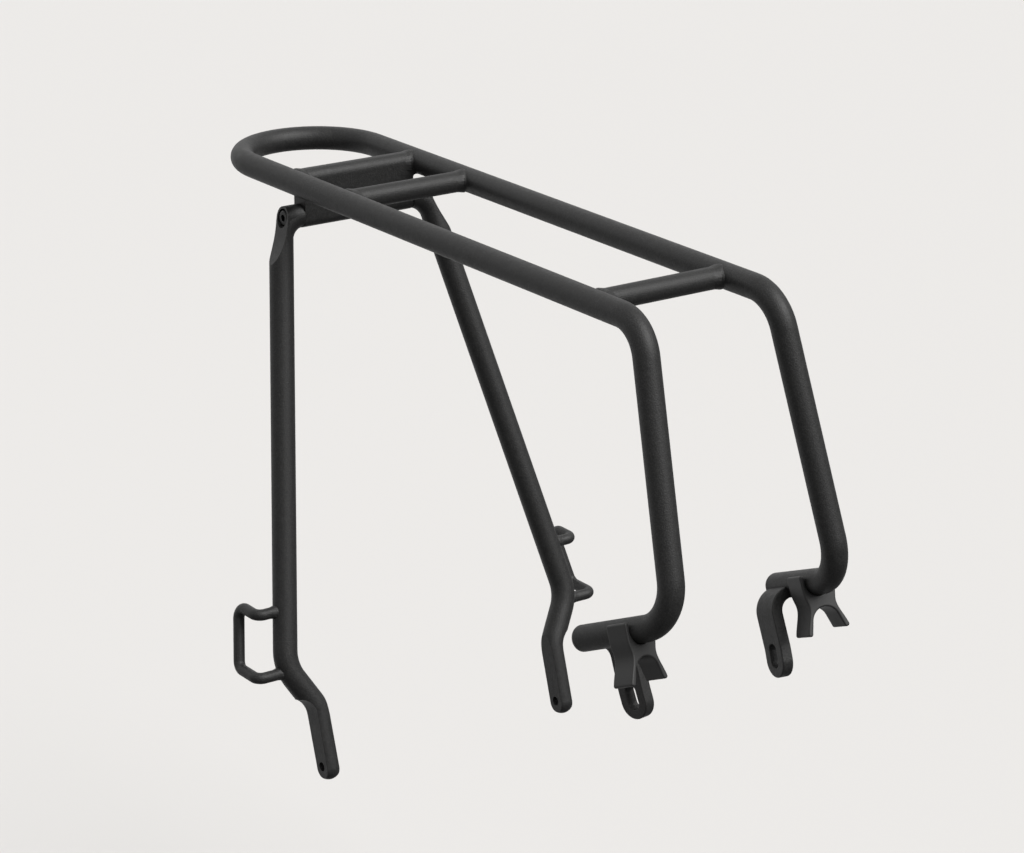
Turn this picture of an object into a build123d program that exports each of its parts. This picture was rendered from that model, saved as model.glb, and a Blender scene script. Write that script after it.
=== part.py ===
"""Folding luggage rack for a small-wheeled bicycle, in bent and welded 14 mm tube.

Millimetres, +X forward, +Y left, +Z up. The sizes below are measured from the centre of
the middle cross bar, and every part is written out measured from the row's origin, the
point midway between the two stay tabs' slots. The left-hand parts are modelled and the
right-hand ones mirrored.
"""
from build123d import *
from math import cos, radians, sin
import os

# ---- Tube ----
TUBE_R = 7.0
TUBE_BORE_R = 5.4
BAR_R = 6.0
BAR_BORE_R = 4.5
WELD_LEG = 2.2
BEAM_WELD_LEG = 2.0

# ---- Deck: a U-shaped hoop with three members across it ----
RAIL_Y = 42.5
HOOP_END_X = -96.3
RAIL_FRONT_X = 246.0
FRONT_BAR_X = 234.7

# ---- Rear beam, which carries the leg pivots ----
PIVOT_X = -54.4
PIVOT_Z = -21.0
BEAM_WIDTH = 12.0
BEAM_TOP_Z = 6.0
BEAM_BOTTOM_Z = -28.0
BEAM_ROUND = 5.4
BEAM_WALL = 2.0
BEAM_FACE_Y = 36.9
BEAM_NECK_Z = -4.0
END_BLOCK_LENGTH = 16.0
END_BLOCK_TOP_Z = -4.5

# ---- Front legs, each one tube from the deck to the end of its stub ----
TOP_CORNER = Vector(276.1, RAIL_Y, 0)
ELBOW = Vector(321.6, 53.8, -142.4)
STUB_AXIS = Vector(-0.9105, 0.1467, -0.3865).normalized()
TOP_BEND_R = 24.0
ELBOW_BEND_R = 24.0
STUB_LENGTH = 71.8
CAP_THICKNESS = 4.0
CAP_EDGE_R = 3.0
CAP_SPIGOT_LENGTH = 9.0

# ---- Stay tab: a bent strap with a slotted lower end, across the stub's inner side ----
TAB_THICKNESS = 6.3
TAB_WIDTH = 18.1
TAB_CENTRE_K = 56.3
TAB_TOP_L = -1.5
TAB_TOP_W = 3.35
TAB_BULGE_L = -15.15
TAB_FACE_L = -13.05
TAB_STRAIGHT_W = 32.0
TAB_BEND_R = 10.05
TAB_EASE_R = 60.0
TAB_END_W = 47.2
TAB_EDGE_R = 0.7
SLOT_WIDTH = 6.9
SLOT_LENGTH = 12.8
SLOT_CENTRE_W = 35.6

# ---- Stay saddle: an X-shaped clip, cup above and fork below ----
SADDLE_FRONT_K = 25.8
SADDLE_LENGTH = 14.4
SADDLE_BORE_R = TUBE_R + 0.1
SADDLE_TILT = 5.5
CUP_HALF_WIDTH = 9.6
CUP_TIP_W = -5.0
CUP_SIDE_END_W = 3.5
WAIST_HALF_WIDTH = 8.3
WAIST_W = 11.5
FORK_HALF_WIDTH = 12.9
FORK_END_W = 26.6
FORK_ARCH_R = 8.0
FORK_ARCH_TOP_W = 13.6
FORK_TIP_INNER = 10.1
FORK_TIP_ANGLE = 14.0
FORK_TIP_SLOPE = 0.5
SADDLE_CORNER_R = 1.2
SADDLE_RIM_R = 0.9

# ---- Folding leg, drawn flat in a plane raked about the pivot axis ----
LEG_RAKE = 17.6
KNUCKLE_R = 6.8
KNUCKLE_FACE_Y = 37.6
LEG_TOP_Y = 49.5
KNEE = (98.1, 250.3)
ANKLE = (82.4, 277.6)
EYELET = (82.2, 311.5)
KNUCKLE_BEND_R = 15.6
KNUCKLE_END = 30.0
KNUCKLE_LEAD = 6.0
KNUCKLE_HEAD = 3.0
SPIGOT_LENGTH = 12.0
FOOT_START = 236.0
KNEE_BEND_R = 25.0
ANKLE_BEND_R = 22.0
FOOT_FLAT = 4.0
FOOT_FLAT_TOP = 280.2
FLAT_RUN_OUT_R = 10.0
FOOT_END_DROP = 1.1
EYELET_R = 2.75
SCOOP = ((47.4, -7.0), (52.6, 11.0), (62.4, 26.0))

# ---- Pivot hardware ----
COUNTERBORE_R = 5.4
COUNTERBORE_FLOOR_Y = 42.4
BUSH_R = 3.6
BUSH_FLANGE_R = 5.1
BUSH_FLANGE = 0.8
BOLT_R = 2.5
RUNNING_GAP = 0.05
BOLT_HEAD_R = 4.25
BOLT_HEAD_LENGTH = 5.0
BOLT_SHANK_END_Y = 23.0
HEX_ACROSS_FLATS = 4.0
HEX_DEPTH = 2.5
HEAD_CHAMFER = 0.5
SHANK_CHAMFER = 0.6
WASHER_R = 6.6

# ---- Guard loop on each leg ----
GUARD_R = 3.25
GUARD_OUT = 18.1
GUARD_BACK = 20.6
GUARD_TOP = 218.4
GUARD_BOTTOM = 253.5
GUARD_SHOULDER_R = 4.5
GUARD_CORNER_R = 5.8

# ---- Cutting tools run this far past what they cut ----
REACH = 40.0

os.makedirs("parts", exist_ok=True)


def stub_plane(k):
    """Section plane of the stub, k along it: local x outboard, local y down, local z rearward."""
    outboard = Vector(STUB_AXIS.Y, -STUB_AXIS.X, 0).normalized()
    return Plane(ELBOW + STUB_AXIS * k, x_dir=outboard, z_dir=STUB_AXIS)


SLOT_CENTRE = stub_plane(TAB_CENTRE_K).from_local_coords(Vector(TAB_FACE_L, SLOT_CENTRE_W, 0))
TO_ROW = Pos(-SLOT_CENTRE.X, 0, -SLOT_CENTRE.Z)


def write(name, shape):
    export_step(TO_ROW * shape, f"parts/{name}.step")


def write_pair(name, left):
    write("left_" + name, left)
    write("right_" + name, mirror(left, about=Plane.XZ))


def rod(path, radius):
    """Solid of round section along a path."""
    return sweep(Plane(path @ 0, z_dir=path % 0) * Circle(radius), path=path)


def tube(path, radius, bore):
    """Tube of round section along a path."""
    section = Circle(radius) - Circle(bore)
    return sweep(Plane(path @ 0, z_dir=path % 0) * section, path=path)


def cylinder_between(start, end, radius):
    return Plane(start, z_dir=end - start) * extrude(Circle(radius), (end - start).length)


def across(x, z, y0, y1, radius):
    """Cylinder along Y from y0 to y1."""
    return cylinder_between(Vector(x, y0, z), Vector(x, y1, z), radius)


# ---- Deck hoop ----
def hoop_path():
    left = Line((RAIL_FRONT_X, RAIL_Y), (HOOP_END_X, RAIL_Y))
    end = ThreePointArc(
        (HOOP_END_X, RAIL_Y), (HOOP_END_X - RAIL_Y, 0), (HOOP_END_X, -RAIL_Y)
    )
    right = Line((HOOP_END_X, -RAIL_Y), (RAIL_FRONT_X, -RAIL_Y))
    return Wire([left.edge(), end.edge(), right.edge()])


def rail_solids(x):
    """Both rails as solid rods around a cross member at x."""
    rails = []
    for y in (-RAIL_Y, RAIL_Y):
        rails.append(cylinder_between(Vector(x - REACH, y, 0), Vector(x + REACH, y, 0), TUBE_R))
    return rails


# ---- Cross bars, with a weld fillet where each meets a rail ----
def cross_bar(x):
    rails = rail_solids(x)
    bar = across(x, 0, -RAIL_Y, RAIL_Y, BAR_R)
    joined = bar + rails[0] + rails[1]
    seams = []
    for edge in joined.edges():
        box = edge.bounding_box()
        near_bar = abs(box.center().X - x) < 1 and box.size.X < 2.2 * BAR_R
        inboard = abs(box.center().Y) < RAIL_Y - 0.5
        if near_bar and inboard and box.size.Z > BAR_R:
            seams.append(edge)
    joined = fillet(seams, WELD_LEG)
    joined = joined - rails[0] - rails[1]
    joined = max(joined.solids(), key=lambda solid: solid.volume)
    return joined - across(x, 0, -RAIL_Y, RAIL_Y, BAR_BORE_R)


# ---- Rear beam ----
def beam_section(inset):
    height = BEAM_TOP_Z - BEAM_BOTTOM_Z
    centre_z = (BEAM_TOP_Z + BEAM_BOTTOM_Z) / 2
    section = RectangleRounded(BEAM_WIDTH - 2 * inset, height - 2 * inset, BEAM_ROUND - inset)
    return Plane((PIVOT_X, 0, centre_z), x_dir=(1, 0, 0), z_dir=(0, -1, 0)) * section


def rear_beam():
    below_neck = Box(REACH, REACH, REACH, align=(Align.CENTER, Align.MIN, Align.MAX))
    below_neck = Pos(PIVOT_X, BEAM_FACE_Y, BEAM_NECK_Z) * below_neck
    shape = extrude(beam_section(0), RAIL_Y, both=True)
    shape -= below_neck
    shape -= mirror(below_neck, about=Plane.XZ)
    rails = rail_solids(PIVOT_X)
    joined = shape + rails[0] + rails[1]
    seams = []
    for edge in joined.edges():
        box = edge.bounding_box()
        on_beam = abs(box.center().X - PIVOT_X) < 8 and box.size.X < 14 and box.size.Y < 10
        at_rail = 30 < abs(box.center().Y) < RAIL_Y
        if on_beam and at_rail and box.min.Z > BEAM_NECK_Z - 1:
            seams.append(edge)
    joined = fillet(seams, BEAM_WELD_LEG) - rails[0] - rails[1]
    joined = max(joined.solids(), key=lambda solid: solid.volume)
    return joined - extrude(beam_section(BEAM_WALL), RAIL_Y, both=True)


def beam_end_block():
    block = extrude(beam_section(BEAM_WALL), RAIL_Y, both=True)
    keep = Box(REACH, END_BLOCK_LENGTH, REACH, align=(Align.CENTER, Align.MAX, Align.MAX))
    block &= Pos(PIVOT_X, BEAM_FACE_Y, END_BLOCK_TOP_Z) * keep
    return block - across(PIVOT_X, PIVOT_Z, 0, RAIL_Y, BOLT_R)


# ---- Front legs ----
def front_leg():
    stub_tube_end = ELBOW + STUB_AXIS * (STUB_LENGTH - CAP_THICKNESS)
    path = FilletPolyline(
        Vector(RAIL_FRONT_X, RAIL_Y, 0), TOP_CORNER, ELBOW, stub_tube_end,
        radius=[TOP_BEND_R, ELBOW_BEND_R],
    )
    return tube(path, TUBE_R, TUBE_BORE_R)


def stub_cap():
    tube_end = stub_plane(STUB_LENGTH - CAP_THICKNESS)
    disc = extrude(Circle(TUBE_R), CAP_THICKNESS)
    disc = fillet(disc.edges().group_by(Axis.Z)[-1], CAP_EDGE_R)
    return tube_end * (disc + extrude(Circle(TUBE_BORE_R), -CAP_SPIGOT_LENGTH))


def stay_tab():
    middle = FilletPolyline(
        (TAB_TOP_L, TAB_TOP_W), (TAB_BULGE_L, TAB_TOP_W), (TAB_FACE_L, TAB_STRAIGHT_W),
        (TAB_FACE_L, TAB_END_W + 1),
        radius=[TAB_BEND_R, TAB_EASE_R],
    )
    strap = extrude(trace(middle, TAB_THICKNESS), TAB_WIDTH)
    # Seen from the side, the strap ends in a half round with the slot above it.
    end_r = TAB_WIDTH / 2
    side = Plane((0, 0, end_r), x_dir=(0, 0, 1), z_dir=(1, 0, 0))
    end_centre_w = TAB_END_W - end_r
    outline = Circle(end_r) + Pos(0, end_centre_w) * Rectangle(TAB_WIDTH, 2 * end_centre_w)
    outline = side * (Pos(0, -end_centre_w) * outline)
    strap &= extrude(outline, REACH, both=True)
    slot = side * (Pos(0, -SLOT_CENTRE_W) * SlotOverall(SLOT_LENGTH, SLOT_WIDTH, rotation=90))
    strap -= extrude(slot, REACH, both=True)
    rims = []
    for edge in strap.edges():
        box = edge.bounding_box()
        if box.min.X < TAB_BULGE_L / 2 and box.size.Y > 2 and box.size.Z < TAB_WIDTH + 1:
            rims.append(edge)
    strap = fillet(rims, TAB_EDGE_R)
    strap -= Cylinder(TUBE_R, 3 * REACH)
    strap = max(strap.solids(), key=lambda solid: solid.volume)
    return stub_plane(TAB_CENTRE_K - end_r) * strap


def saddle_half_profile():
    """Half profile from the cup's tip down the outside and back up inside the fork."""
    arch_centre_w = FORK_ARCH_TOP_W + FORK_ARCH_R
    waist = (WAIST_HALF_WIDTH, WAIST_W)
    tip = (FORK_HALF_WIDTH, FORK_END_W)
    tip_inner = (FORK_TIP_INNER, FORK_END_W + FORK_TIP_SLOPE)

    def on_arch(degrees):
        angle = radians(degrees)
        return (FORK_ARCH_R * cos(angle), arch_centre_w - FORK_ARCH_R * sin(angle))

    edges = [
        Line((SADDLE_BORE_R, CUP_TIP_W), (CUP_HALF_WIDTH, CUP_TIP_W)),
        Line((CUP_HALF_WIDTH, CUP_TIP_W), (CUP_HALF_WIDTH, CUP_SIDE_END_W)),
        Spline((CUP_HALF_WIDTH, CUP_SIDE_END_W), waist, tip, tangents=[(0, 1), (0.25, 1)]),
        Line(tip, tip_inner),
        Line(tip_inner, on_arch(FORK_TIP_ANGLE)),
        ThreePointArc(on_arch(FORK_TIP_ANGLE), on_arch((FORK_TIP_ANGLE + 90) / 2), (0, FORK_ARCH_TOP_W)),
        Line((0, FORK_ARCH_TOP_W), (0, SADDLE_BORE_R)),
        ThreePointArc(
            (0, SADDLE_BORE_R),
            (SADDLE_BORE_R * cos(radians(45)), SADDLE_BORE_R * sin(radians(45))),
            (SADDLE_BORE_R, 0),
        ),
        Line((SADDLE_BORE_R, 0), (SADDLE_BORE_R, CUP_TIP_W)),
    ]
    return make_face([edge.edge() for edge in edges])


def stay_saddle():
    half = saddle_half_profile()
    solid = extrude(half + mirror(half, about=Plane.YZ), SADDLE_LENGTH)
    corners = []
    for edge in solid.edges().filter_by(Axis.Z):
        centre = edge.center()
        fork_tip = centre.Y > FORK_END_W - 0.5
        cup_tip = centre.Y < CUP_TIP_W + 0.1
        if fork_tip or cup_tip:
            corners.append(edge)
    solid = fillet(corners, SADDLE_CORNER_R)
    ends = solid.edges().group_by(Axis.Z)
    solid = fillet(ends[0] + ends[-1], SADDLE_RIM_R)
    return stub_plane(SADDLE_FRONT_K) * Rot(0, 0, -SADDLE_TILT) * solid


# ---- Folding legs ----
def leg_plane():
    rake = radians(LEG_RAKE)
    return Plane((PIVOT_X, 0, PIVOT_Z), x_dir=(0, 1, 0), z_dir=(cos(rake), 0, sin(rake)))


def leg_at(y, along):
    """Point of the raked leg plane, y outboard and 'along' down from the pivot axis."""
    return leg_plane().from_local_coords(Vector(y, -along, 0))


def leg_axis_y(along):
    return LEG_TOP_Y + (KNEE[0] - LEG_TOP_Y) * along / KNEE[1]


def leg_knuckle():
    corner = leg_at(LEG_TOP_Y, 0)
    bottom = leg_at(leg_axis_y(KNUCKLE_END), KNUCKLE_END)
    start = leg_at(KNUCKLE_FACE_Y - KNUCKLE_LEAD, 0)
    bend = FilletPolyline(start, corner, bottom, radius=KNUCKLE_BEND_R)
    shape = rod(bend, KNUCKLE_R)
    shape += across(PIVOT_X, PIVOT_Z, KNUCKLE_FACE_Y, LEG_TOP_Y + KNUCKLE_HEAD, KNUCKLE_R)
    shape += cylinder_between(corner, bottom, TUBE_R)
    tube_top = bottom + (bottom - corner).normalized() * SPIGOT_LENGTH
    shape += cylinder_between(bottom, tube_top, TUBE_BORE_R)
    # The outboard corner is milled away by one wide curved pass.
    scoop = [(y, -along) for y, along in SCOOP]
    pass_edge = ThreePointArc(*scoop)
    top, _, end = scoop
    outline = Polyline(
        end, (end[0] + REACH, end[1]), (top[0] + REACH, top[1] + REACH),
        (top[0], top[1] + REACH), top,
    )
    removed = make_face(pass_edge.edges() + outline.edges())
    shape -= extrude(leg_plane() * removed, REACH, both=True)
    shape -= across(PIVOT_X, PIVOT_Z, KNUCKLE_FACE_Y - REACH, KNUCKLE_FACE_Y, 2 * KNUCKLE_R)
    shape -= across(PIVOT_X, PIVOT_Z, COUNTERBORE_FLOOR_Y, RAIL_Y + REACH, COUNTERBORE_R)
    shape -= across(PIVOT_X, PIVOT_Z, KNUCKLE_FACE_Y - 1, RAIL_Y + REACH, BUSH_R)
    return max(shape.solids(), key=lambda solid: solid.volume)


def leg_tube():
    top = leg_at(leg_axis_y(KNUCKLE_END), KNUCKLE_END)
    bottom = leg_at(leg_axis_y(FOOT_START), FOOT_START)
    return cylinder_between(top, bottom, TUBE_R) - cylinder_between(top, bottom, TUBE_BORE_R)


def leg_foot():
    top = leg_at(leg_axis_y(FOOT_START), FOOT_START)
    knee = leg_at(*KNEE)
    toe = leg_at(EYELET[0], EYELET[1] + FOOT_END_DROP)
    path = FilletPolyline(top, knee, leg_at(*ANKLE), toe, radius=[KNEE_BEND_R, ANKLE_BEND_R])
    shape = rod(path, TUBE_R) + Pos(toe) * Sphere(TUBE_R)
    spigot_top = top + (top - knee).normalized() * SPIGOT_LENGTH
    shape += cylinder_between(spigot_top, top, TUBE_BORE_R)
    # Below the ankle both sides of the domed end are milled flat.
    eyelet = leg_at(*EYELET)
    outboard_of = (Align.MIN, Align.MAX, Align.CENTER)
    inboard_of = (Align.MAX, Align.MAX, Align.CENTER)
    outer_cut = Box(REACH, 2 * REACH, REACH, align=outboard_of)
    outer_cut += Pos(FLAT_RUN_OUT_R, 0, 0) * Cylinder(FLAT_RUN_OUT_R, REACH)
    inner_cut = Pos(0, REACH, 0) * Box(REACH, 3 * REACH, REACH, align=inboard_of)
    shape -= leg_plane() * Pos(EYELET[0] + FOOT_FLAT, -FOOT_FLAT_TOP, 0) * outer_cut
    shape -= leg_plane() * Pos(EYELET[0] - FOOT_FLAT, -FOOT_FLAT_TOP, 0) * inner_cut
    shape -= across(eyelet.X, eyelet.Z, EYELET[0] - REACH, EYELET[0] + REACH, EYELET_R)
    return max(shape.solids(), key=lambda solid: solid.volume)


def leg_guard():
    top = leg_at(leg_axis_y(GUARD_TOP), GUARD_TOP)
    bottom = leg_at(leg_axis_y(GUARD_BOTTOM), GUARD_BOTTOM)
    out = Vector(0, GUARD_OUT, 0)
    back = Vector(-GUARD_BACK, 0, 0)
    path = FilletPolyline(
        top, top + out, top + out + back, bottom + out + back, bottom + out, bottom,
        radius=[GUARD_SHOULDER_R, GUARD_CORNER_R, GUARD_CORNER_R, GUARD_SHOULDER_R],
    )
    return rod(path, GUARD_R)


# ---- Pivot hardware ----
def pivot_bush():
    bore = BOLT_R + RUNNING_GAP
    sleeve = across(PIVOT_X, PIVOT_Z, KNUCKLE_FACE_Y, COUNTERBORE_FLOOR_Y, BUSH_R)
    flange = across(PIVOT_X, PIVOT_Z, COUNTERBORE_FLOOR_Y, COUNTERBORE_FLOOR_Y + BUSH_FLANGE,
                    BUSH_FLANGE_R)
    return sleeve + flange - across(PIVOT_X, PIVOT_Z, 0, 2 * REACH, bore)


def pivot_bolt():
    seat = COUNTERBORE_FLOOR_Y + BUSH_FLANGE + RUNNING_GAP
    head = across(PIVOT_X, PIVOT_Z, seat, seat + BOLT_HEAD_LENGTH, BOLT_HEAD_R)
    head = chamfer(head.edges().group_by(Axis.Y)[-1], HEAD_CHAMFER)
    socket_plane = Plane((PIVOT_X, seat + BOLT_HEAD_LENGTH, PIVOT_Z), x_dir=(1, 0, 0), z_dir=(0, -1, 0))
    socket = RegularPolygon(HEX_ACROSS_FLATS / 2, 6, major_radius=False)
    head -= socket_plane * extrude(socket, HEX_DEPTH)
    shank = across(PIVOT_X, PIVOT_Z, BOLT_SHANK_END_Y, seat, BOLT_R)
    shank = chamfer(shank.edges().group_by(Axis.Y)[0], SHANK_CHAMFER)
    return head + shank


def pivot_washer():
    washer = across(PIVOT_X, PIVOT_Z, BEAM_FACE_Y, KNUCKLE_FACE_Y - RUNNING_GAP, WASHER_R)
    return washer - across(PIVOT_X, PIVOT_Z, 0, 2 * REACH, BOLT_R + RUNNING_GAP)


write("deck_hoop", tube(hoop_path(), TUBE_R, TUBE_BORE_R))
write("middle_cross_bar", cross_bar(0))
write("front_cross_bar", cross_bar(FRONT_BAR_X))
write("rear_beam", rear_beam())
write_pair("beam_end_block", beam_end_block())
write_pair("front_leg", front_leg())
write_pair("stub_cap", stub_cap())
write_pair("stay_tab", stay_tab())
write_pair("stay_saddle", stay_saddle())
write_pair("pivot_bolt", pivot_bolt())
write_pair("pivot_washer", pivot_washer())
write_pair("pivot_bush", pivot_bush())
write_pair("leg_knuckle", leg_knuckle())
write_pair("leg_tube", leg_tube())

foot = leg_foot()
guard = leg_guard()
straight = leg_at(leg_axis_y(KNUCKLE_END), KNUCKLE_END)
filled_tube = cylinder_between(straight, leg_at(leg_axis_y(FOOT_START), FOOT_START), TUBE_R)
guard = max((guard - foot - filled_tube).solids(), key=lambda solid: solid.volume)
write_pair("leg_foot", foot)
write_pair("leg_guard", guard)
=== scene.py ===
from math import cos, pi, radians, sin

import bmesh
import bpy
import numpy as np
from mathutils import Matrix, Vector
from mathutils.bvhtree import BVHTree


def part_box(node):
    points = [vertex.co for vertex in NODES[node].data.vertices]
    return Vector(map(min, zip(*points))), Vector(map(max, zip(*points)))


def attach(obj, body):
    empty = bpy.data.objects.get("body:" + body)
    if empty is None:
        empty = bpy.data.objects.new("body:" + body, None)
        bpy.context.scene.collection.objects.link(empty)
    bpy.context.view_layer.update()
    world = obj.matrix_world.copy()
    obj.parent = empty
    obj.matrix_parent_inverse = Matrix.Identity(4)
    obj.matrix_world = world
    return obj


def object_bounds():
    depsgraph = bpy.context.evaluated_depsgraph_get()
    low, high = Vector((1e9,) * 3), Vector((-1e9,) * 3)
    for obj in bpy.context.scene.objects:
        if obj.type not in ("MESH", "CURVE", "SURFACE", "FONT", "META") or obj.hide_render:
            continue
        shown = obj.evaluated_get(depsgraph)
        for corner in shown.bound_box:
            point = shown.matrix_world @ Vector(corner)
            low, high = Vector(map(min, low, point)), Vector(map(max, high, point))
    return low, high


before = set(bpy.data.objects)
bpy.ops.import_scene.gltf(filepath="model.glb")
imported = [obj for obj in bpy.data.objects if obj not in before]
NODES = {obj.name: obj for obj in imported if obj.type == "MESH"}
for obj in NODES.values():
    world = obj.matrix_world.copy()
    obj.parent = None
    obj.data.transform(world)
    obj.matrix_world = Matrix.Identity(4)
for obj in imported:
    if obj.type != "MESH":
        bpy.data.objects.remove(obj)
CAD_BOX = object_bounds()

# ---- Camera: position in metres, and the directions of its right, up and view axes ----
CAMERA_PLACE = (1.252454, -1.0081, 0.686094)
CAMERA_RIGHT = (0.57524082, 0.81797661, 0.00350311)
CAMERA_UP = (-0.26730791, 0.18393295, 0.94589384)
CAMERA_FORWARD = (-0.77307469, 0.54505315, -0.32445736)
CAMERA_LENS_MM = 118.24
SENSOR_MM = 36.0
CLIP_NEAR = 0.05
CLIP_FAR = 100.0

# ---- Floor: its size, middle and depth under the feet, and its paint ----
FLOOR_SIZE = 40.0
FLOOR_CENTRE = (-8.0, 6.0)
FLOOR_DROP = 0.25
FLOOR_COLOUR = (0.655, 0.644, 0.633, 1)
FLOOR_SHADE_COLOUR = (0.650, 0.639, 0.628, 1)
FLOOR_CLOUD = 0.8
FLOOR_ROUGHNESS = 0.95
FLOOR_SPECULAR = 0.1

# ---- World: strengths above and below the horizon, and a lobe behind the closed end.
# A fade runs between two values of the cosine of the angle from its direction. ----
WORLD_COLOUR = (1.0, 0.997, 0.993, 1)
WORLD_ABOVE = 0.42
WORLD_BELOW = 0.12
HORIZON_FADE = (-0.15, 0.30)
GLOW_TOWARDS = (-0.97, 0.10, -0.10)
GLOW_STRENGTH = 0.50
GLOW_FADE = (0.10, 0.85)

# ---- Key light: the way towards it, its strength, and how wide it is in degrees ----
KEY_TOWARDS = (0.60, 0.27, 0.75)
KEY_STRENGTH = 3.3
KEY_ANGLE = 50.0
KEY_COLOUR = (1, 0.997, 0.99)

# ---- Grain of the finishes, in features per metre ----
POWDER_GRAIN = 1500.0
POWDER_MOTTLE = 330.0
POWDER_PEEL = 858.0
POWDER_DRIFT = 16.0
PLASTIC_GRAIN = 2600.0
PLASTIC_CLOUD = 60.0
STEEL_GRAIN = 1900.0
STEEL_STAIN = 260.0

# ---- Edge easing: the radius in metres on each finish, and the cosines where the painted edge highlight runs ----
POWDER_EASE = 0.00035
PLASTIC_EASE = 0.0005
STEEL_EASE = 0.0003
EASE_SAMPLES = 6
EDGE_HIGHLIGHT_FROM = 0.995
EDGE_HIGHLIGHT_TO = 0.90

# ---- Colour stops, as (position, grey level, warmth) ----
POWDER_BASE = ((0.30, 0.012, 0), (0.52, 0.016, 0.01), (0.75, 0.021, 0.01))
POWDER_SPECK = ((0.34, 0.007, 0), (0.66, 0.038, 0.01))
# The next two rows are painted highlights: lighter colours laid along sharp edges, where
# rounded fillets would catch the light.
POWDER_EDGE_HIGHLIGHT = ((0.3, 0.026, 0.01), (0.7, 0.036, 0.012))
STEEL_EDGE_HIGHLIGHT = ((0.3, 0.10, 0), (0.7, 0.20, 0))
STEEL_OXIDE = ((0.3, 0.022, 0), (0.55, 0.034, 0))
STEEL_BROWN = (0.8, (0.05, 0.044, 0.04, 1))

# ---- Roughness ranges, and bumps as (strength, height in metres) ----
POWDER_ROUGHNESS = (0.44, 0.56)
POWDER_SPECULAR = 0.42
POWDER_SPECK_SHARE = (0.25, 0.60)
POWDER_PEEL_BUMP = (0.22, 0.00008)
POWDER_GRAIN_BUMP = (0.90, 0.00020)
PLASTIC_BUMP = (0.35, 0.00006)
STEEL_ROUGHNESS = (0.28, 0.46)
STEEL_METALLIC = 0.85
STEEL_BUMP = (0.25, 0.00003)

# ---- Weld flares: (distance back from the seam, height above the member), on a 12 mm bar ----
FLARE = ((0.0052, -0.0004), (0.0050, -0.00005), (0.0042, 0.00008), (0.0032, 0.00028),
         (0.0022, 0.00058), (0.0012, 0.00088), (0.0002, 0.00105), (-0.0010, 0.0008),
         (-0.0016, 0.0), (-0.0012, -0.0009), (0.0010, -0.0011), (0.0034, -0.0009))
BAR_R = 0.006
GUARD_R = 0.00325
RAIL_R = 0.007
BEAM_SEAM_FOOT = 0.0035
BAR_RIM_POINTS = 120
BEAM_RIM_POINTS = 90
GUARD_RIM_POINTS = 80
GUARD_ARM_INSET = 3 * GUARD_R
GUARD_FLARE_SCALE = 0.62
RIPPLE_PITCH = 0.0017
RIPPLE_DEPTH = 0.07
FEWEST_RIPPLES = 3
FLARE_TOP_SINK = 0.28


def make_camera():
    data = bpy.data.cameras.new("view_camera")
    data.lens = CAMERA_LENS_MM
    data.sensor_width = SENSOR_MM
    data.sensor_fit = "HORIZONTAL"
    data.clip_start = CLIP_NEAR
    data.clip_end = CLIP_FAR
    camera = bpy.data.objects.new("view_camera", data)
    bpy.context.collection.objects.link(camera)
    back = -Vector(CAMERA_FORWARD)
    axes = Matrix((CAMERA_RIGHT, CAMERA_UP, back)).transposed().to_4x4()
    camera.matrix_world = Matrix.Translation(CAMERA_PLACE) @ axes
    bpy.context.scene.camera = camera


def soft_sun(name, towards, strength, angle, colour):
    """A disc of light at infinity. towards points from the object to the middle of the disc."""
    data = bpy.data.lights.new(name, "SUN")
    data.energy = strength
    data.angle = radians(angle)
    data.color = colour
    lamp = bpy.data.objects.new(name, data)
    bpy.context.collection.objects.link(lamp)
    lamp.rotation_mode = "QUATERNION"
    lamp.rotation_quaternion = (-Vector(towards)).to_track_quat("-Z", "Y")


def make_world():
    """Soft light all round, brighter above the horizon and behind the deck's closed end."""
    world = bpy.data.worlds.new("studio")
    world.use_nodes = True
    tree = world.node_tree
    background = tree.nodes["Background"]
    direction = tree.nodes.new("ShaderNodeTexCoord").outputs["Generated"]

    def facing(towards, fade, low, high):
        """low to high as the view direction turns towards one way."""
        along = tree.nodes.new("ShaderNodeVectorMath")
        along.operation = "DOT_PRODUCT"
        along.inputs[1].default_value = Vector(towards).normalized()
        tree.links.new(direction, along.inputs[0])
        step = tree.nodes.new("ShaderNodeMapRange")
        step.interpolation_type = "SMOOTHSTEP"
        step.inputs["From Min"].default_value = fade[0]
        step.inputs["From Max"].default_value = fade[1]
        step.inputs["To Min"].default_value = low
        step.inputs["To Max"].default_value = high
        tree.links.new(along.outputs["Value"], step.inputs["Value"])
        return step.outputs["Result"]

    total = tree.nodes.new("ShaderNodeMath")
    tree.links.new(facing((0, 0, 1), HORIZON_FADE, WORLD_BELOW, WORLD_ABOVE), total.inputs[0])
    tree.links.new(facing(GLOW_TOWARDS, GLOW_FADE, 0.0, GLOW_STRENGTH), total.inputs[1])
    tree.links.new(total.outputs["Value"], background.inputs["Strength"])
    background.inputs["Color"].default_value = WORLD_COLOUR
    bpy.context.scene.world = world


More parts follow.
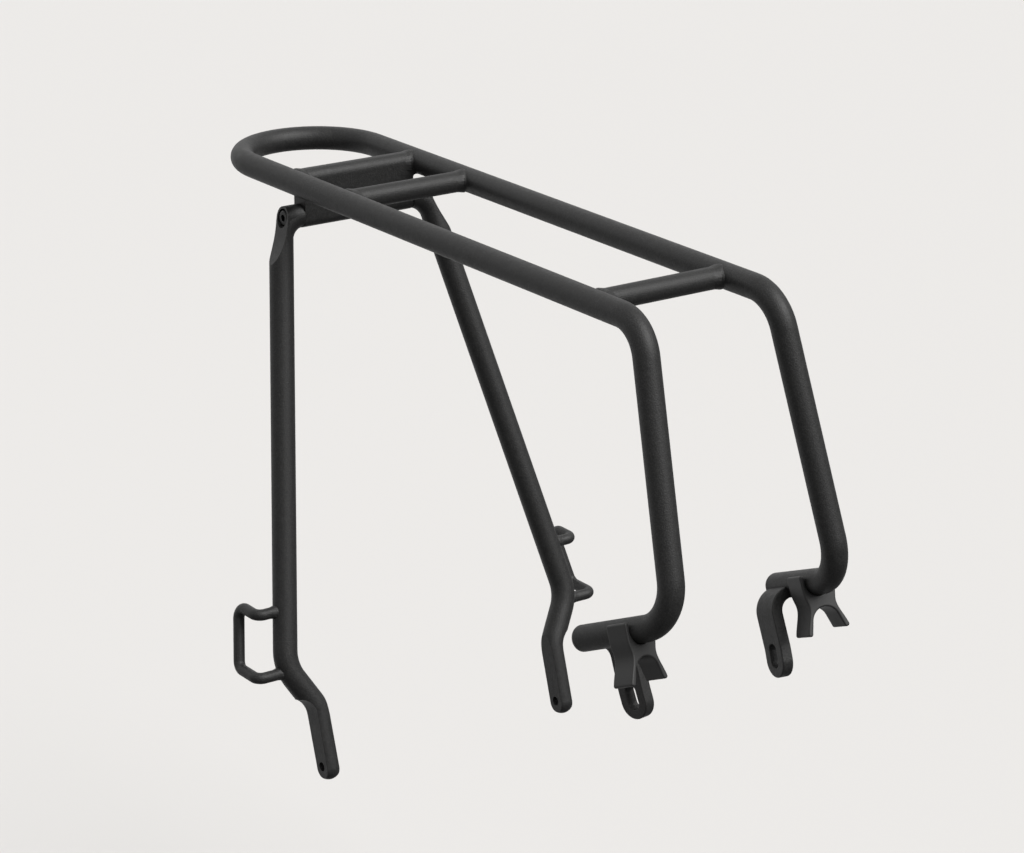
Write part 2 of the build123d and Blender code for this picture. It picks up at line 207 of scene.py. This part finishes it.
class Finish:
    """A Principled material and the few nodes that vary it over the surface."""

    def __init__(self, name):
        self.material = bpy.data.materials.new(name)
        self.material.use_nodes = True
        self.tree = self.material.node_tree
        self.shader = self.tree.nodes["Principled BSDF"]
        self.place = self.add("ShaderNodeTexCoord").outputs["Object"]

    def add(self, kind):
        return self.tree.nodes.new(kind)

    def join(self, output, socket):
        self.tree.links.new(output, socket)

    def noise(self, scale, detail, roughness=0.5):
        node = self.add("ShaderNodeTexNoise")
        node.inputs["Scale"].default_value = scale
        node.inputs["Detail"].default_value = detail
        node.inputs["Roughness"].default_value = roughness
        self.join(self.place, node.inputs["Vector"])
        return node.outputs["Fac"]

    def cells(self, scale):
        node = self.add("ShaderNodeTexVoronoi")
        node.feature = "SMOOTH_F1"
        node.inputs["Scale"].default_value = scale
        self.join(self.place, node.inputs["Vector"])
        return node.outputs["Distance"]

    def ramp(self, value, stops):
        node = self.add("ShaderNodeValToRGB")
        elements = node.color_ramp.elements
        elements[0].position, elements[0].color = stops[0]
        elements[1].position, elements[1].color = stops[-1]
        for position, colour in stops[1:-1]:
            elements.new(position).color = colour
        self.join(value, node.inputs["Fac"])
        return node.outputs["Color"]

    def spread(self, value, low, high, from_low=0.3, from_high=0.7):
        node = self.add("ShaderNodeMapRange")
        node.inputs["From Min"].default_value = from_low
        node.inputs["From Max"].default_value = from_high
        node.inputs["To Min"].default_value = low
        node.inputs["To Max"].default_value = high
        self.join(value, node.inputs["Value"])
        return node.outputs["Result"]

    def mix(self, factor, first, second):
        node = self.add("ShaderNodeMix")
        node.data_type = "RGBA"
        self.join(factor, node.inputs["Factor"])
        self.join(first, node.inputs["A"])
        self.join(second, node.inputs["B"])
        return node.outputs["Result"]

    def bump(self, height, strength, distance, before=None):
        node = self.add("ShaderNodeBump")
        node.inputs["Strength"].default_value = strength
        node.inputs["Distance"].default_value = distance
        self.join(height, node.inputs["Height"])
        if before:
            self.join(before, node.inputs["Normal"])
        return node.outputs["Normal"]

    def rounded(self, radius):
        """Surface normal with sharp edges eased over a small radius."""
        node = self.add("ShaderNodeBevel")
        node.samples = EASE_SAMPLES
        node.inputs["Radius"].default_value = radius
        return node.outputs["Normal"]

    def edges(self, eased):
        """Mask for the painted edge highlight: near 0 on smooth surfaces and rising to 1 along
        sharp edges.
        """
        turn = self.add("ShaderNodeVectorMath")
        turn.operation = "DOT_PRODUCT"
        self.join(eased, turn.inputs[0])
        self.join(self.add("ShaderNodeNewGeometry").outputs["Normal"], turn.inputs[1])
        return self.spread(turn.outputs["Value"], 0.0, 1.0, EDGE_HIGHLIGHT_FROM, EDGE_HIGHLIGHT_TO)


def grey(level, warm=0.0):
    return (level * (1 + warm), level, level * (1 - warm), 1)


def greys(stops):
    return [(position, grey(level, warm)) for position, level, warm in stops]


def powder_coat():
    f = Finish("powder_coat_black")
    grain = f.noise(POWDER_GRAIN, 2.0)
    mottle = f.noise(POWDER_MOTTLE, 3.0, 0.6)
    drift = f.noise(POWDER_DRIFT, 2.0)
    eased = f.rounded(POWDER_EASE)
    base = f.ramp(mottle, greys(POWDER_BASE))
    speck = f.ramp(grain, greys(POWDER_SPECK))
    # Painted highlight: sharp edges are mixed towards a lighter grey, standing in for light
    # caught on rounded fillets.
    coat_edge_highlight = f.ramp(drift, greys(POWDER_EDGE_HIGHLIGHT))
    coat = f.mix(f.spread(grain, *POWDER_SPECK_SHARE), base, speck)
    f.join(f.mix(f.edges(eased), coat, coat_edge_highlight), f.shader.inputs["Base Color"])
    f.join(f.spread(mottle, *POWDER_ROUGHNESS), f.shader.inputs["Roughness"])
    f.shader.inputs["Specular IOR Level"].default_value = POWDER_SPECULAR
    peel = f.bump(f.cells(POWDER_PEEL), *POWDER_PEEL_BUMP, eased)
    f.join(f.bump(grain, *POWDER_GRAIN_BUMP, peel), f.shader.inputs["Normal"])
    return f.material


def moulded_plastic(name, level, low, high):
    """level is the grey of the skin, and low to high its range of roughness."""
    f = Finish(name)
    grain = f.noise(PLASTIC_GRAIN, 2.0)
    cloud = f.noise(PLASTIC_CLOUD, 3.0)
    eased = f.rounded(PLASTIC_EASE)
    skin = f.ramp(cloud, [(0.3, grey(level * 0.9)), (0.7, grey(level * 1.12, 0.01))])
    # Painted highlight: sharp edges are mixed towards a lighter grey, standing in for light
    # caught on rounded edges.
    skin_edge_highlight = f.ramp(grain, [(0.3, grey(level * 1.3)), (0.7, grey(level * 1.7, 0.01))])
    f.join(f.mix(f.edges(eased), skin, skin_edge_highlight), f.shader.inputs["Base Color"])
    f.join(f.spread(cloud, low, high), f.shader.inputs["Roughness"])
    f.join(f.bump(grain, *PLASTIC_BUMP, eased), f.shader.inputs["Normal"])
    return f.material


def black_steel():
    f = Finish("black_oxide_steel")
    grain = f.noise(STEEL_GRAIN, 3.0)
    stain = f.noise(STEEL_STAIN, 4.0, 0.6)
    eased = f.rounded(STEEL_EASE)
    oxide = f.ramp(stain, greys(STEEL_OXIDE) + [STEEL_BROWN])
    # Painted highlight: sharp edges are mixed towards a brighter steel colour, standing in for
    # light caught on rounded edges.
    steel_edge_highlight = f.ramp(grain, greys(STEEL_EDGE_HIGHLIGHT))
    f.join(f.mix(f.edges(eased), oxide, steel_edge_highlight), f.shader.inputs["Base Color"])
    f.join(f.spread(stain, *STEEL_ROUGHNESS), f.shader.inputs["Roughness"])
    f.shader.inputs["Metallic"].default_value = STEEL_METALLIC
    f.join(f.bump(grain, *STEEL_BUMP, eased), f.shader.inputs["Normal"])
    return f.material


def floor_paint():
    f = Finish("studio_floor")
    cloud = f.noise(FLOOR_CLOUD, 2.0)
    paint = f.ramp(cloud, [(0.2, FLOOR_SHADE_COLOUR), (0.8, FLOOR_COLOUR)])
    f.join(paint, f.shader.inputs["Base Color"])
    f.shader.inputs["Roughness"].default_value = FLOOR_ROUGHNESS
    f.shader.inputs["Specular IOR Level"].default_value = FLOOR_SPECULAR
    return f.material


def make_floor():
    """A plain floor under the rack, left out of its reflections and bounce light."""
    half = FLOOR_SIZE / 2
    x, y = FLOOR_CENTRE
    low = CAD_BOX[0][2] - FLOOR_DROP
    corners = [(x - half, y - half, low), (x + half, y - half, low),
               (x + half, y + half, low), (x - half, y + half, low)]
    mesh = bpy.data.meshes.new("floor")
    mesh.from_pydata(corners, [], [(0, 1, 2, 3)])
    floor = bpy.data.objects.new("floor", mesh)
    bpy.context.collection.objects.link(floor)
    mesh.materials.append(floor_paint())
    floor.visible_glossy = False
    floor.visible_diffuse = False


def dress(material, names):
    for name in names:
        for holder in NODES[name].material_slots:
            holder.material = material


def both(*names):
    return [side + name for side in ("left_", "right_") for name in names]


def surface(*names):
    """A ray-castable copy of the named nodes' surfaces."""
    points, faces = [], []
    for name in names:
        mesh = NODES[name].data
        start = len(points)
        points += [vertex.co.copy() for vertex in mesh.vertices]
        faces += [[start + index for index in face.vertices] for face in mesh.polygons]
    return BVHTree.FromPolygons(points, faces)


def weld_flare(name, rim, inward, target, scale, closed, body):
    """A rippled weld that thickens a member where it meets a target surface.

    rim holds (point, outward direction) pairs round the member's own surface, away from the
    seam. Each is carried along 'inward' until it meets one of the target nodes. A flare that
    is not closed is an open run with a flat face at each end."""
    tree = surface(*target)
    seam = []
    for point, outward in rim:
        hit = tree.ray_cast(point, inward)[0]
        if hit is not None:
            seam.append((hit, outward))
    rings = len(seam)
    steps = [0.0]
    for ring in range(rings - 1):
        steps.append(steps[-1] + (seam[ring + 1][0] - seam[ring][0]).length)
    whole = steps[-1] + ((seam[-1][0] - seam[0][0]).length if closed else 0.0)
    ripples = max(FEWEST_RIPPLES, round(whole / RIPPLE_PITCH))
    sides = len(FLARE)
    points, faces = [], []
    for (hit, outward), step in zip(seam, steps):
        swell = 1 + RIPPLE_DEPTH * cos(2 * pi * ripples * step / whole)
        swell *= 1 - FLARE_TOP_SINK * abs(outward.z)
        for back, height in FLARE:
            rise = height * swell if height > 0 else height
            points.append(hit - inward * back * scale + outward * rise * scale)
    for ring in range(rings if closed else rings - 1):
        after = (ring + 1) % rings
        for side in range(sides):
            beside = (side + 1) % sides
            faces.append((ring * sides + side, ring * sides + beside,
                          after * sides + beside, after * sides + side))
    if not closed:
        faces.append(tuple(range(sides)))
        faces.append(tuple(reversed(range((rings - 1) * sides, rings * sides))))
    mesh = bpy.data.meshes.new(name)
    mesh.from_pydata(points, [], faces)
    shell = bmesh.new()
    shell.from_mesh(mesh)
    bmesh.ops.recalc_face_normals(shell, faces=shell.faces)
    shell.to_mesh(mesh)
    shell.free()
    mesh.shade_smooth()
    flare = bpy.data.objects.new(name, mesh)
    bpy.context.collection.objects.link(flare)
    rounding = flare.modifiers.new("rounding", "SUBSURF")
    rounding.levels = 1
    rounding.render_levels = 1
    mesh.materials.append(COAT)
    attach(flare, body)


def round_rim(centre, radius, count):
    """Points round a circle whose axis is along Y, with the outward direction at each."""
    rim = []
    for step in range(count):
        angle = 2 * pi * step / count
        outward = Vector((cos(angle), 0, sin(angle)))
        rim.append((centre + outward * radius, outward))
    return rim


def beam_rim(centre, count):
    """Up one side of the beam, over its rounded top and down the other side."""
    rim = []
    drop = np.linspace(BEAM_SEAM_FOOT, 0, count // 4, endpoint=False)
    for down in drop:
        rim.append((centre + Vector((BAR_R, 0, -down)), Vector((1, 0, 0))))
    for angle in np.linspace(0, pi, count):
        outward = Vector((cos(angle), 0, sin(angle)))
        rim.append((centre + outward * BAR_R, outward))
    for down in reversed(drop):
        rim.append((centre + Vector((-BAR_R, 0, -down)), Vector((-1, 0, 0))))
    return rim


def middle_of(name):
    low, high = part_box(name)
    return (low + high) / 2


def leg_axis(side):
    """A point on the straight leg tube's axis, and the axis direction."""
    points = np.array([vertex.co[:] for vertex in NODES[side + "leg_tube"].data.vertices])
    centre = points.mean(0)
    return Vector(centre), Vector(np.linalg.svd(points - centre, full_matrices=False)[2][0])


def make_welds():
    deck_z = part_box("deck_hoop")[1].z - RAIL_R
    for side, sign in (("left_", 1), ("right_", -1)):
        outboard = Vector((0, sign, 0))
        for bar in ("middle_cross_bar", "front_cross_bar"):
            rim = round_rim(Vector((middle_of(bar).x, 0, deck_z)), BAR_R, BAR_RIM_POINTS)
            weld_flare(side + bar + "_weld", rim, outboard, ["deck_hoop"], 1.0, True, "deck")
        rim = beam_rim(Vector((middle_of("rear_beam").x, 0, deck_z)), BEAM_RIM_POINTS)
        weld_flare(side + "beam_weld", rim, outboard, ["deck_hoop"], 1.0, False, "deck")
        low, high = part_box(side + "leg_guard")
        point, direction = leg_axis(side)
        arm_y = (high.y if sign > 0 else low.y) - sign * GUARD_ARM_INSET
        for arm, z in (("upper", high.z - GUARD_R), ("lower", low.z + GUARD_R)):
            on_axis = point + direction * ((z - point.z) / direction.z)
            rim = round_rim(Vector((on_axis.x, arm_y, z)), GUARD_R, GUARD_RIM_POINTS)
            weld_flare(side + "guard_" + arm + "_weld", rim, -outboard,
                       [side + "leg_tube", side + "leg_foot"], GUARD_FLARE_SCALE, True,
                       side + "leg")


COAT = powder_coat()
dress(COAT, ["deck_hoop", "middle_cross_bar", "front_cross_bar", "rear_beam"]
      + both("beam_end_block", "front_leg", "stub_cap", "stay_tab",
             "leg_knuckle", "leg_tube", "leg_foot", "leg_guard"))
dress(moulded_plastic("saddle_nylon", 0.027, 0.42, 0.54), both("stay_saddle"))
dress(moulded_plastic("washer_nylon", 0.010, 0.50, 0.60), both("pivot_washer"))
dress(moulded_plastic("bush_acetal", 0.030, 0.35, 0.45), both("pivot_bush"))
dress(black_steel(), both("pivot_bolt"))

make_welds()
make_floor()
make_world()
make_camera()
bpy.context.scene.view_settings.view_transform = "Standard"
soft_sun("key_light", KEY_TOWARDS, KEY_STRENGTH, KEY_ANGLE, KEY_COLOUR)
